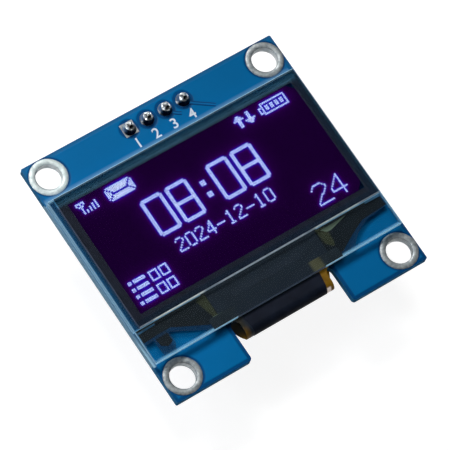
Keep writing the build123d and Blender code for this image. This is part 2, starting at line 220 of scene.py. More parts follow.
@dataclass(frozen=True)
class Finish:
    """Plain surface of one stuff: a clouded tone, an uneven shine and a fine grain.

    Sizes are in millimetres, and the cloud that turns the tone to the second one also makes it rougher.
    """

    name: str
    tone: str
    second: str
    second_share: float
    roughness: float
    spread: float
    cloud_size: float
    grain_size: float
    grain_height: float
    specular: float = 0.5
    metallic: float = 0.0

    def build(self) -> Material:
        """Make the material."""
        recipe = Recipe(self.name)
        add, place = recipe.add, recipe.place
        clouds = add("TexNoise", place, scale=1 / (self.cloud_size * MM), detail=4.0, roughness=0.6)
        share = add("MapRange", clouds, 0.35, 0.7, 0.0, self.second_share)
        grain = add("TexNoise", place, scale=1 / (self.grain_size * MM), detail=3.0)
        return recipe.finish(
            "BsdfPrincipled",
            base_color=add("Mix", share, self.tone, self.second, data_type="RGBA"),
            roughness=add("MapRange", clouds, 0.3, 0.7, self.roughness, self.roughness + self.spread),
            normal=add("Bump", height=grain, distance=self.grain_height * MM),
            specular_ior_level=self.specular,
            metallic=self.metallic,
        )


@dataclass(frozen=True)
class WettedMetal:
    """Reflowed metal with painted light and shade: bright on its upper side, painted dark on its lower. Sizes
    are in millimetres.
    """

    name: str
    bright: str
    dark: str
    roughness: float
    lump_size: float
    lump_height: float

    def build(self) -> Material:
        """Make the material."""
        recipe = Recipe(self.name)
        add = recipe.add
        lumps = add("TexNoise", recipe.place, scale=1 / (self.lump_size * MM), detail=3.0)
        # Painted shade and light: faces turned down the board take the dark tone, faces turned up it the
        # bright one.
        slope = add("Math", lumps, 1.1, recipe.axes["NY"], operation="MULTIPLY_ADD")
        share = add("MapRange", slope, 0.1, 0.85)
        return recipe.finish(
            "BsdfPrincipled",
            base_color=add("Mix", share, self.dark, self.bright, data_type="RGBA"),
            roughness=self.roughness,
            normal=add("Bump", height=lumps, distance=self.lump_height * MM),
            metallic=1.0,
        )


@dataclass(frozen=True)
class SolderMask:
    """Blue solder mask, brighter over the copper pour, on a sawn glass laminate.

    Sizes are in millimetres, and the outline and the holes come from the frame.
    """

    over_copper: str = "#0369a4"
    over_laminate: str = "#034579"
    sunlit_rim: str = "#1a6397"
    laminate: str = "#6c9ab7"
    laminate_fibre: str = "#91afc2"
    tab_laminate: str = "#2f6f99"
    spill: str = "#a6cfe6"
    edge_margin: float = 0.42
    ring_margin: float = 0.2
    pad_margin: float = 0.4
    top_spill: float = 0.45
    left_spill: float = 0.95
    upper_left_spill: float = 0.5
    spill_reach: float = 0.7
    spill_gap: float = 0.2
    spill_start: float = 0.05
    margin_width: float = 0.3
    ledge_fade: Point = (2.3, 0.5)
    notch_middle: float = -0.1
    notch_half: float = 7.2
    notch_roof: float = -11.55
    fade: float = 0.12
    peel_size: float = 0.9
    peel_height: float = 0.012
    layer_size: float = 1.3
    cloud_size: float = 9.0
    left_tone: float = 1.1
    right_tone: float = 0.86

    def build(self) -> Material:
        """Make the material."""
        recipe = Recipe("solder_mask_on_glass_laminate")
        add, place, axes = recipe.add, recipe.place, recipe.axes
        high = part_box("circuit_board")[1]
        upper = add("MapRange", axes["Y"], -high.y, high.y)
        rim = add("Mix", upper, self.over_laminate, self.sunlit_rim, data_type="RGBA")
        # The pour keeps off the outline, the mounting rings and the header's lands; the wide bare ring round
        # the lands is partly a real clearance and partly painted shade of the solder joints.
        mask, pour = self.over_copper, 1.0
        for bare, gap in (
            (rim, self.outline_distance(recipe)),
            (self.over_laminate, self.ring_distance(recipe, "hole_plating_1", self.ring_margin)),
            (self.over_laminate, self.ring_distance(recipe, "header_land_1", self.pad_margin)),
            (self.over_laminate, self.ring_distance(recipe, "header_land_2", self.pad_margin)),
        ):
            limits = [(self.edge_margin + side * self.fade) * MM for side in (-1, 1)]
            copper = add("MapRange", gap, *limits, interpolation_type="SMOOTHSTEP")
            mask = add("Mix", copper, bare, mask, data_type="RGBA")
            pour = add("Math", pour, copper, operation="MINIMUM")
        lit = add("Mix", self.light_spill(recipe), mask, self.spill, data_type="RGBA")
        clouded = recipe.cloud(lit, self.cloud_size, 0.9, 1.1, detail=3.0)
        side_tone = add("MapRange", axes["X"], -high.x, high.x, self.left_tone, self.right_tone)
        shaded = add("Mix", 1.0, clouded, side_tone, data_type="RGBA", blend_type="MULTIPLY")
        layers = add(
            "TexWave",
            place,
            scale=1 / (self.layer_size * MM),
            distortion=2.5,
            detail=3.0,
            bands_direction="Z",
        )
        tabs = add("Math", recipe.offset(axes["Y"]), -self.notch_roof * MM, operation="GREATER_THAN")
        face = add("Math", recipe.offset(axes["NZ"]), FACING, operation="GREATER_THAN")
        colour = recipe.blend(
            (
                ("fibres", layers, self.laminate, self.laminate_fibre),
                ("sawn", tabs, "fibres", self.tab_laminate),
                ("whole", face, "sawn", shaded),
            )
        )
        peel = add("TexNoise", place, scale=1 / (self.peel_size * MM), detail=2.0)
        relief = add("Math", pour, 2.0, peel, operation="MULTIPLY_ADD")
        return recipe.finish(
            "BsdfPrincipled",
            base_color=colour,
            roughness=add("MapRange", face, to_min=0.8, to_max=0.34),
            normal=add("Bump", height=relief, distance=self.peel_height * MM),
            specular_ior_level=0.05,
        )

    def outline_distance(self, recipe: Recipe) -> Node:
        """Measure how far a place lies inside the board's outline and its notch.

        Args:
            recipe: the material in the making.

        Returns:
            The distance in metres.
        """
        add, axes = recipe.add, recipe.axes
        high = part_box("circuit_board")[1]
        side = add("Math", high.x, recipe.offset(axes["X"]), operation="SUBTRACT")
        end = add("Math", high.y, recipe.offset(axes["Y"]), operation="SUBTRACT")
        rim = add("Math", side, end, operation="MINIMUM")
        reach = recipe.offset(axes["X"], self.notch_middle * MM)
        wall = add("Math", reach, self.notch_half * MM, operation="SUBTRACT")
        roof = add("Math", axes["Y"], self.notch_roof * MM, operation="SUBTRACT")
        notch = add("Math", wall, roof, operation="MAXIMUM")
        return add("Math", rim, notch, operation="MINIMUM")

    def ring_distance(self, recipe: Recipe, node: str, margin: float) -> Node:
        """Measure the distance from a ring or a land and its mirror images, on the edge margin's scale.

        Args:
            recipe: the material in the making.
            node: frame node of the ring or land.
            margin: how far the pour keeps off it, in millimetres.

        Returns:
            The distance in metres.
        """
        add, axes = recipe.add, recipe.axes
        low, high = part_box(node)
        middle, radius = (low + high) / 2, (high.x - low.x) / 2
        # Only the mounts stand at both ends of the board; the lands stand at its top.
        along = recipe.offset(axes["Y"]) if node.startswith("hole") else axes["Y"]
        pairs = ((recipe.offset(axes["X"]), middle.x), (along, middle.y))
        shifts = [add("Math", reach, abs(place), operation="SUBTRACT") for reach, place in pairs]
        distance = add("VectorMath", add("CombineXYZ", *shifts), operation="LENGTH")
        return add("Math", distance, radius + (margin - self.edge_margin) * MM, operation="SUBTRACT")

    def light_spill(self, recipe: Recipe) -> Node:
        """Find where the glass throws light on the mask: past its upper edge and on the margin left of it.

        Args:
            recipe: the material in the making.

        Returns:
            A share that falls from the glass outwards.
        """
        add, axes = recipe.add, recipe.axes
        low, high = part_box("substrate_glass")
        ledge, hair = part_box("polariser")[0].y, self.spill_start * MM
        past_top = high.y + self.spill_gap * MM
        fade_start, fade_end = (ledge - reach * MM for reach in self.ledge_fade)
        # Each fade: axis, place where it starts, place where it ends, share before and after.
        zones = (
            (
                ("Y", high.y, high.y + hair, 0.0, 1.0),
                ("Y", past_top, past_top + self.spill_reach * MM, self.top_spill, 0.0),
                ("X", low.x, low.x + hair, 0.0, 1.0),
                ("X", high.x - hair, high.x, 1.0, 0.0),
            ),
            (
                ("X", low.x, low.x + self.margin_width * MM, 1.0, 0.0),
                ("Y", low.y - hair, low.y + hair, 0.0, 1.0),
                ("Y", fade_start, fade_end, self.left_spill, self.upper_left_spill),
                ("Y", high.y, high.y + hair, 1.0, 0.0),
            ),
        )
        shares = []
        for zone in zones:
            share = add("Math", axes["NZ"], FACING, operation="GREATER_THAN")
            for axis, *limits in zone:
                share = add("Math", share, add("MapRange", axes[axis], *limits), operation="MULTIPLY")
            shares.append(share)
        return add("Math", *shares, operation="MAXIMUM")


@dataclass(frozen=True)
class PanelGlass:
    """Thin display glass: clear faces, a clean shine beside the film, and ground edges whose tones are
    painted light and shade: a pale blue glow along the lower side and the bevels, darker on the right above
    the ledge and over the flexible circuit.

    Sizes are in millimetres. Faces count as flat or sloped by the share of their outward direction.
    """

    left_wall: str = "#6f9dbb"
    right_wall: str = "#4a5a64"
    right_ledge_wall: str = "#8fc6e2"
    low_wall: str = "#9edcff"
    flex_wall: str = "#414d60"
    left_bevel: str = "#41708f"
    low_bevel: str = "#b4e2fb"
    top_bevel: str = "#b4dcf2"
    tint: str = "#fafdfd"
    wall_cover: float = 0.95
    wall_glow: float = 0.3
    flex_half: float = 6.2
    frost_size: float = 0.25
    flat: float = 0.95
    slope: float = 0.4
    past_cap: float = 0.1

    def build(self) -> Material:
        """Make the material."""
        recipe = Recipe("display_glass")
        add, axes = recipe.add, recipe.axes
        level = recipe.offset(axes["NZ"])
        ground = add("Math", level, self.flat, operation="LESS_THAN")
        sloped = add("Math", level, self.slope, operation="GREATER_THAN")
        low_side = add("Math", axes["NY"], -self.slope, operation="LESS_THAN")
        top_side = add("Math", axes["NY"], self.slope, operation="GREATER_THAN")
        right_side = add("Math", axes["NX"], self.slope, operation="GREATER_THAN")
        narrow = add("Math", recipe.offset(axes["X"]), self.flex_half * MM, operation="LESS_THAN")
        at_ledge = add("Math", axes["Y"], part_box("polariser")[0].y, operation="LESS_THAN")
        at_flex = add("Math", narrow, at_ledge, operation="MULTIPLY")
        # Painted light and shade on the ground edges: a tone for each side, pale below, dark on the right and
        # over the flexible circuit.
        edge = recipe.blend(
            (
                ("low", at_flex, self.low_wall, self.flex_wall),
                ("low_slope", at_flex, self.low_bevel, self.flex_wall),
                ("right", at_ledge, self.right_wall, self.right_ledge_wall),
                ("wall", low_side, self.left_wall, "low"),
                ("low_bevel", low_side, self.left_bevel, "low_slope"),
                ("bevel", top_side, "low_bevel", self.top_bevel),
                ("edge", sloped, "wall", "bevel"),
                ("whole", right_side, "edge", "right"),
            )
        )
        tone = recipe.cloud(edge, self.frost_size, 0.75, 1.2)
        # The edges glow with painted light in their own tone.
        frosted_painted_edge = add(
            "BsdfPrincipled",
            base_color=tone,
            roughness=0.4,
            emission_color=tone,
            emission_strength=self.wall_glow,
        )
        clear = add("BsdfTransparent", self.tint)
        shine = add("BsdfPrincipled", base_color="#05080a", roughness=0.04, specular_ior_level=1.0)
        mirror = add("Fresnel", ior=1.5)
        share = add("Math", mirror, self.bare_front(recipe), operation="MULTIPLY")
        pane = add("MixShader", share, clear, shine)
        cover = add("Math", ground, self.wall_cover, operation="MULTIPLY")
        return recipe.finish("MixShader", cover, pane, frosted_painted_edge)

    def bare_front(self, recipe: Recipe) -> Node:
        """Find the bare front of the glass, which is the only face that meets the air.

        Args:
            recipe: the material in the making.

        Returns:
            One on the bare front and zero elsewhere.
        """
        add, axes = recipe.add, recipe.axes
        film_low, film_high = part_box("polariser")
        outside = []
        for axis, low, high in (("X", film_low.x, film_high.x), ("Y", film_low.y, film_high.y)):
            reach = recipe.offset(axes[axis], (low + high) / 2)
            outside.append(add("Math", reach, (high - low) / 2, operation="GREATER_THAN"))
        share = add("Math", *outside, operation="MAXIMUM")
        for axis, limit in (("NZ", self.flat), ("Z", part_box("cap_glass")[1].z + self.past_cap * MM)):
            passed = add("Math", axes[axis], limit, operation="GREATER_THAN")
            share = add("Math", share, passed, operation="MULTIPLY")
        return share


@dataclass(frozen=True)
class Film:
    """Tinted see-through film or resin: it darkens what lies behind it and keeps a haze of its own.

    Its cut carries painted light and shade: pale along the lower side and dark along the others. Sizes are in
    millimetres.
    """

    name: str
    passed: str
    haze: str
    haze_share: float
    low_cut: str
    side_cut: str
    roughness: float
    specular: float
    cloud_size: float = 6.0

    def build(self) -> Material:
        """Make the material."""
        recipe = Recipe(self.name)
        add, axes = recipe.add, recipe.axes
        front = add("Math", axes["NZ"], FACING, operation="GREATER_THAN")
        cut = add("Math", recipe.offset(axes["NZ"]), FACING, operation="LESS_THAN")
        low_side = add("Math", axes["NY"], -FACING, operation="LESS_THAN")
        clear = add("BsdfTransparent", add("Mix", front, "#ffffff", self.passed, data_type="RGBA"))
        body = add(
            "BsdfPrincipled",
            base_color=recipe.cloud(self.haze, self.cloud_size, 0.8, 1.2, detail=3.0),
            roughness=self.roughness,
            specular_ior_level=self.specular,
        )
        share = add("Math", front, self.haze_share, operation="MULTIPLY")
        # Painted light and shade on the cut: pale on the lower side, dark elsewhere.
        cut_tone = add("Mix", low_side, self.side_cut, self.low_cut, data_type="RGBA")
        rim = add("BsdfPrincipled", base_color=cut_tone, roughness=0.5, specular_ior_level=0.05)
        return recipe.finish("MixShader", cut, add("MixShader", share, clear, body), rim)


@dataclass(frozen=True)
class GlueBead:
    """Squeezed-out clear glue along the film's edge, whose tones are a painted highlight: bright over the
    wiring fans, greyer elsewhere.

    Sizes and places along X are in millimetres.
    """

    plain: str = "#8e9ba9"
    bright: str = "#eef6f6"
    right_bright: str = "#cad9dc"
    middle: str = "#b6c1cd"
    left_fan: Point = (-14.5, -8.2)
    right_fan: Point = (7.9, 13.6)
    neck: Point = (-5.6, 6.0)
    fade: float = 0.6
    ripple_size: float = 1.2
    ripple_height: float = 0.01
    glow: float = 0.16

    def build(self) -> Material:
        """Make the material."""
        recipe = Recipe("optical_glue")
        add = recipe.add
        # Painted highlight: the tone is brighter over the wiring fans and the neck.
        tone: Input = self.plain
        for zone, (start, end) in (
            (self.bright, self.left_fan),
            (self.middle, self.neck),
            (self.right_bright, self.right_fan),
        ):
            half = (end - start) / 2
            reach = recipe.offset(recipe.axes["X"], (start + end) / 2 * MM)
            share = add("MapRange", reach, (half + self.fade) * MM, half * MM)
            tone = add("Mix", share, tone, zone, data_type="RGBA")
        colour = recipe.cloud(tone, self.ripple_size, 0.5, 1.4, detail=3.0)
        ripple = add("TexNoise", recipe.place, scale=1 / (self.ripple_size * MM), detail=3.0)
        # The bead glows a little with painted light.
        return recipe.finish(
            "BsdfPrincipled",
            base_color=colour,
            emission_color=colour,
            emission_strength=self.glow,
            roughness=0.3,
            normal=add("Bump", height=ripple, distance=self.ripple_height * MM),
        )


@dataclass(frozen=True)
class Polyimide:
    """Amber polyimide film with dark conductors down its middle, golden in the open and dull under the glass.

    Painted shade darkens the left margin's upper part, a painted glint lights the fold's lower right, and the
    bare margins glow with painted light. Sizes are in millimetres.
    """

    amber: str = "#6a4d0c"
    shaded: str = "#25241e"
    glint: str = "#f6e6dc"
    under_glass: str = "#1a2229"
    olive: str = "#464534"
    conductor: str = "#17202c"
    gap: str = "#1d2733"
    half_width: float = 5.35
    lean: float = -0.35
    glint_end: float = 5.6
    olive_start: float = 5.0
    olive_end: float = 6.3
    pitch: float = 0.35
    fade: float = 0.3
    cloud_size: float = 0.9
    glow: float = 0.25

    def build(self) -> Material:
        """Make the material."""
        recipe = Recipe("polyimide_flexible_circuit")
        add, along = recipe.add, recipe.axes["Y"]
        low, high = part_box("flex_circuit")
        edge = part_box("substrate_glass")[0].y / MM
        centre = add("Mapping", recipe.place, (-(low.x + high.x) / 2, 0.0, 0.0))
        across = add("SeparateXYZ", centre).outputs["X"]
        # The left margin's upper part is painted shade, and the glint low on the right margin is a painted
        # highlight.
        # Each zone: name, value, place where it starts, place where it is full, tone before, tone after.
        zones = (
            ("left", along, edge - 1.1, edge - 2.7, self.shaded, self.amber),
            ("glint", along, edge - 2.1, edge - 2.25, self.amber, self.glint),
            ("corner", across, self.glint_end, self.glint_end + 0.2, "glint", self.amber),
            ("free", across, -0.1, 0.1, "left", "corner"),
            ("olive", across, self.olive_start - 0.2, self.olive_start, self.under_glass, self.olive),
            ("outer", across, self.olive_end, self.olive_end + 0.4, "olive", self.under_glass),
            ("margin", along, edge + 0.1, edge - 0.1, "outer", "free"),
        )
        bare = recipe.blend(
            (name, add("MapRange", value, start * MM, full * MM), before, after)
            for name, value, start, full, before, after in zones
        )
        bare = recipe.cloud(bare, self.cloud_size, 0.5, 1.5)
        reach = recipe.offset(across, self.lean * MM)
        limits = [(self.half_width + side * self.fade) * MM for side in (1, -1)]
        middle = add("MapRange", reach, *limits)
        lines = add("TexWave", centre, scale=math.tau / (20 * self.pitch * MM), bands_direction="X")
        colour = recipe.blend(
            (("conductors", lines, self.gap, self.conductor), ("whole", middle, bare, "conductors"))
        )
        # The bare margins glow a little with painted light, standing in for light that passes through the
        # film.
        return recipe.finish(
            "BsdfPrincipled",
            base_color=colour,
            roughness=0.3,
            specular_ior_level=0.25,
            emission_color=bare,
            emission_strength=add("MapRange", middle, to_min=self.glow, to_max=0.0),
        )


@dataclass(frozen=True)
class Wiring:
    """Vacuum-deposited wiring behind the glass: smoky grey, with another tone and cover towards the top. Some
    of its films are painted light instead of wiring.

    Places are in millimetres. Without a second tone and cover it is the same all over.
    """

    name: str
    tone: str
    cover: float
    top_tone: str | None = None
    top_cover: float | None = None
    top_start: float = 7.5
    top_end: float = 10.6
    cloud_size: float = 1.6

    def build(self) -> Material:
        """Make the material."""
        recipe = Recipe(self.name)
        add = recipe.add
        limits = (self.top_start * MM, self.top_end * MM)
        top = add("MapRange", recipe.axes["Y"], *limits, interpolation_type="SMOOTHSTEP")
        tone = add("Mix", top, self.tone, self.top_tone or self.tone, data_type="RGBA")
        body = add(
            "BsdfPrincipled",
            base_color=recipe.cloud(tone, self.cloud_size, 0.6, 1.4),
            roughness=0.4,
            specular_ior_level=0.2,
        )
        top_cover = self.cover if self.top_cover is None else self.top_cover
        cover = add("MapRange", top, to_min=self.cover, to_max=top_cover)
        return recipe.finish("MixShader", cover, add("BsdfTransparent"), body)


@dataclass(frozen=True)
class PixelField:
    """Unlit part of the light-emitting stack: purple black, with a blue glow that spreads from lit dots."""

    dark: str = "#1f0034"
    violet: str = "#3c0262"
    blue: str = "#3514cc"
    near: float = 0.7
    far: float = 0.2
    strength: float = 2.4

    def build(self) -> Material:
        """Make the material."""
        recipe = Recipe("organic_light_emitting_stack")
        glow = recipe.add("Attribute", attribute_type="GEOMETRY", attribute_name="glow").outputs["Fac"]
        ramp = recipe.add("ValToRGB", glow)
        stops = ramp.color_ramp.elements
        stops[0].position, stops[0].color = 0.0, linear(self.dark)
        stops[1].position, stops[1].color = self.near, linear(self.blue)
        stops.new(self.far).color = linear(self.violet)
        return recipe.finish("Emission", ramp, self.strength)


@dataclass(frozen=True)
class LitDots:
    """Lit dots: a cold lavender white light that is whiter in large lit fields."""

    stroke: str = "#b4c2ff"
    field: str = "#e4eaff"
    strength: float = 3.6

    def build(self) -> Material:
        """Make the material."""
        recipe = Recipe("lit_dots")
        glow = recipe.add("Attribute", attribute_type="GEOMETRY", attribute_name="glow").outputs["Fac"]
        share = recipe.add("MapRange", glow, 0.9, 1.5)
        colour = recipe.add("Mix", share, self.stroke, self.field, data_type="RGBA")
        return recipe.finish("Emission", colour, self.strength)


@dataclass(frozen=True)
class Paper:
    """Pale seamless studio paper that stays white to the eye and keeps a faint shadow."""

    tone: str = "#e8e8e8"
    seen_tone: str = "#909090"
    lift: float = 0.9

    def build(self) -> Material:
        """Make the material."""
        recipe = Recipe("studio_paper")
        add = recipe.add
        rays = add("LightPath").outputs
        seen = add("Math", rays["Is Camera Ray"], rays["Is Transmission Ray"], operation="MAXIMUM")
        return recipe.finish(
            "BsdfPrincipled",
            base_color=add("Mix", seen, self.tone, self.seen_tone, data_type="RGBA"),
            roughness=0.9,
            specular_ior_level=0.0,
            emission_color="#ffffff",
            emission_strength=add("Math", seen, self.lift, operation="MULTIPLY"),
        )


@contextmanager
def edit_mode() -> Iterator[None]:
    """Stay in edit mode for a while."""
    bpy.ops.object.mode_set(mode="EDIT")
    yield
    bpy.ops.object.mode_set(mode="OBJECT")


def take(*pieces: Object) -> None:
    """Select the given objects alone, in object mode, and make the first the active one."""
    if bpy.context.object is not None and bpy.context.object.mode != "OBJECT":
        bpy.ops.object.mode_set(mode="OBJECT")
    bpy.ops.object.select_all(action="DESELECT")
    for piece in pieces:
        piece.select_set(True)
    if pieces:
        bpy.context.view_layer.objects.active = pieces[0]


def apply_place(piece: Object) -> None:
    """Move an object's place, turn and scale into its mesh."""
    take(piece)
    bpy.ops.object.transform_apply(location=True, rotation=True, scale=True)


def select_parts(piece: Object, kind: str, wanted: Callable[[Vector], bool]) -> int:
    """Select the edges or faces of a piece by their place.

    Args:
        piece: active object, in object mode.
        kind: "EDGE" or "FACE".
        wanted: test on both ends of an edge or on the middle of a face.

    Returns:
        How many parts were selected.
    """
    with edit_mode():
        bpy.ops.mesh.select_mode(type=kind)
        bpy.ops.mesh.select_all(action="DESELECT")
    mesh, ends = piece.data, piece.data.vertices
    if kind == "EDGE":
        chosen = [e for e in mesh.edges if all(wanted(ends[i].co) for i in e.vertices)]
    else:
        chosen = [f for f in mesh.polygons if wanted(f.center)]
    for part in chosen:
        part.select = True
    return len(chosen)


def extrude_edges(piece: Object, wanted: Callable[[Vector], bool], move: Iterable[float]) -> None:
    """Extrude the edges of a piece that pass a test.

    Args:
        piece: active object, in object mode.
        wanted: test on the ends of an edge.
        move: the way from the old edges to the new ones.
    """
    select_parts(piece, "EDGE", wanted)
    with edit_mode():
        bpy.ops.mesh.extrude_region_move(TRANSFORM_OT_translate={"value": move})


def draw_lines(name: str, routes: Iterable[Iterable[Point]], closed: bool, **settings: object) -> Object:
    """Draw straight lines from point to point and turn them into a mesh.

    Args:
        name: name of the drawing.
        routes: chains of points in millimetres.
        closed: True joins the ends of each chain.
        settings: the curve's own settings.

    Returns:
        The mesh, as the active object.
    """
    curve = bpy.data.curves.new(name, "CURVE")
    for key, value in settings.items():
        setattr(curve, key, value)
    for route in routes:
        line = curve.splines.new("POLY")
        corners = list(route)
        line.points.add(len(corners) - 1)
        for point, (x, y) in zip(line.points, corners):
            point.co = (x * MM, y * MM, 0.0, 1.0)
        line.use_cyclic_u = closed
    piece = bpy.data.objects.new(name, curve)
    bpy.context.collection.objects.link(piece)
    take(piece)
    bpy.ops.object.convert(target="MESH")
    return bpy.context.object


def settle(
    piece: Object,
    name: str,
    materials: Iterable[Material],
    replaces: str | None = None,
) -> Object:
    """Name and dress a finished piece and tie it to the frame.

    Args:
        piece: the finished object.
        name: its name in the model.
        materials: materials by slot.
        replaces: frame node that it stands for.

    Returns:
        The same object.
    """
    apply_place(piece)
    piece.name = name
    piece.data.name = name
    for material in materials:
        piece.data.materials.append(material)
    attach(piece, BODY)
    if replaces is not None:
        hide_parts(replaces)
    LOG.info("%s: %d faces", name, len(piece.data.polygons))
    return piece


def rectangle(left: float, low: float, right: float, high: float) -> Outline:
    """Give the corners of an upright rectangle."""
    return ((left, low), (right, low), (right, high), (left, high))


def box_in_mm(node: str) -> tuple[Vector, Vector]:
    """Give the corners of a frame node's box in millimetres."""
    low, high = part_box(node)
    return low / MM, high / MM


def dress(material: Material, *starts: str) -> None:
    """Give a material to every frame node whose name begins with one of the given words."""
    chosen = [node for name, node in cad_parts.items() if name.startswith(starts)]
    for node in chosen:
        node.data.materials.clear()
        node.data.materials.append(material)
    LOG.info("%s: %d frame nodes dressed", material.name, len(chosen))


@dataclass
class DotPicture:
    """Lit dots of the display, drawn with bars and strokes in columns and rows from the top left."""

    columns: int = 128
    rows: int = 64
    lit: set[tuple[int, int]] = field(default_factory=set)

    def bar(self, column: int, row: int, width: int, height: int, on: bool = True) -> None:
        """Light or clear a block of dots.

        Args:
            column: its left column.
            row: its top row.
            width: its width in dots.
            height: its height in dots.
            on: True lights the dots, and False clears them.
        """
        block = {(column + c, row + r) for c in range(width) for r in range(height)}
        self.lit = self.lit | block if on else self.lit - block

    def box(
        self, column: int, row: int, width: int, height: int, wall: int | None = None, clipped: bool = False
    ) -> None:
        """Light a box.

        Args:
            column: its left column.
            row: its top row.
            width: its width in dots.
            height: its height in dots.
            wall: thickness of its walls in dots, or None for a full box.
            clipped: True leaves its corner dots dark.
        """
        self.bar(column, row, width, height)
        if wall is not None:
            self.bar(column + wall, row + wall, width - 2 * wall, height - 2 * wall, on=False)
        if clipped:
            for x in (column, column + width - 1):
                for y in (row, row + height - 1):
                    self.bar(x, y, 1, 1, on=False)

    def stroke(self, column: int, row: int, points: Iterable[Point], size: Point = (1.0, 1.0)) -> None:
        """Light the dots along a chain of straight lines.

        Args:
            column: left column of the drawing.
            row: top row of the drawing.
            points: corners of the chain, from that dot.
            size: factors across and down on the corners.
        """
        corners = [Vector((x * size[0], y * size[1])) for x, y in points]
        for start, end in zip(corners, corners[1:]):
            steps = max(1, round(max(abs(end.x - start.x), abs(end.y - start.y))))
            for step in range(steps + 1):
                spot = start.lerp(end, step / steps)
                self.lit.add((column + math.floor(spot.x + 0.5), row + math.floor(spot.y + 0.5)))


@dataclass
class Picture:
    """What the display shows: state icons, a clock, plain digits and two menu icons. Sizes are in dots."""

    dots: DotPicture = field(default_factory=DotPicture)
    digit_shapes: dict[str, tuple[Outline, ...]] = field(
        default_factory=lambda: {
            "0": (((1, 0), (3, 0), (4, 1), (4, 6), (3, 7), (1, 7), (0, 6), (0, 1), (1, 0)),),
            "1": (((1, 1), (2, 0), (2, 7)), ((1, 7), (3, 7))),
            "2": (((0, 1), (1, 0), (3, 0), (4, 1), (4, 2), (0, 6), (0, 7), (4, 7)),),
            "4": (((3, 7), (3, 0), (0, 4), (0, 5), (4, 5)),),
            "-": (((0, 4), (4, 4)),),
        }
    )

    def draw_signal(self) -> None:
        """Aerial and four rising bars at the top left."""
        self.dots.bar(0, 0, 5, 3)
        for column, row in ((1, 1), (3, 1), (0, 2), (4, 2)):
            self.dots.bar(column, row, 1, 1, on=False)
        self.dots.bar(2, 3, 1, 4)
        for index in range(4):
            self.dots.bar(4 + 2 * index, 5 - index, 1, 2 + index)

    def draw_letter(self) -> None:
        """Closed envelope with its fold lines left dark."""
        left = 17
        self.dots.box(left, 0, 16, 8, clipped=True)
        self.dots.bar(left + 4, 4, 8, 1, on=False)
        for side in (3, 12):
            self.dots.bar(left + side, 3, 1, 2, on=False)
        for column, row in ((1, 1), (2, 2), (14, 1), (13, 2), (1, 6), (2, 5), (14, 6), (13, 5)):
            self.dots.bar(left + column, row, 1, 1, on=False)

    def draw_arrows(self) -> None:
        """One arrow up and one arrow down."""
        for column, step, tip, shaft in ((96, 1, 0, 3), (102, -1, 6, 0)):
            for index in range(3):
                self.dots.bar(column + 2 - index, tip + step * index, 2 + 2 * index, 1)
            self.dots.bar(column + 2, shaft, 2, 4)

    def draw_battery(self) -> None:
        """Full battery with four cells and its pole to the left."""
        self.dots.box(113, 0, 15, 7, wall=1)
        for index in range(4):
            self.dots.bar(115 + 3 * index, 2, 2, 3)
        self.dots.bar(111, 2, 2, 4)
        self.dots.bar(112, 3, 1, 2, on=False)

    def draw_clock(self) -> None:
        """Four tall figures and a colon, two dots thick, with clipped corners."""
        width, height, top, wall = 13, 22, 15, 2
        for column, has_waist in ((29, False), (44, True), (69, False), (84, True)):
            self.dots.box(column, top, width, height, wall=wall, clipped=True)
            if has_waist:
                self.dots.bar(column + wall, top + height // 2 - 1, width - 2 * wall, wall)
        for row in (21, 28):
            self.dots.bar(62, row, 3, 3)

    def draw_digits(self) -> None:
        """A row of small plain figures under the clock and two larger ones at the lower right."""
        small = [(33 + 6 * index, 41, mark, (1.0, 1.0)) for index, mark in enumerate("2024-12-10")]
        for column, row, mark, size in (*small, (109, 52, "2", (2.0, 1.6)), (119, 52, "4", (2.0, 1.6))):
            for points in self.digit_shapes[mark]:
                self.dots.stroke(column, row, points, size)

    def draw_menu(self) -> None:
        """List icon and tile icon at the lower left."""
        top = 49
        for row in range(top, top + 16, 4):
            self.dots.bar(0, row, 2, 2)
            self.dots.bar(3, row, 7, 2)
        for column in (12, 18):
            for row in (top, top + 8):
                self.dots.box(column, row, 5, 6, wall=1)

    def draw(self) -> DotPicture:
        """Draw every part of the picture.

        Returns:
            The picture.
        """
        self.draw_signal()
        self.draw_letter()
        self.draw_arrows()
        self.draw_battery()
        self.draw_clock()
        self.draw_digits()
        self.draw_menu()
        return self.dots


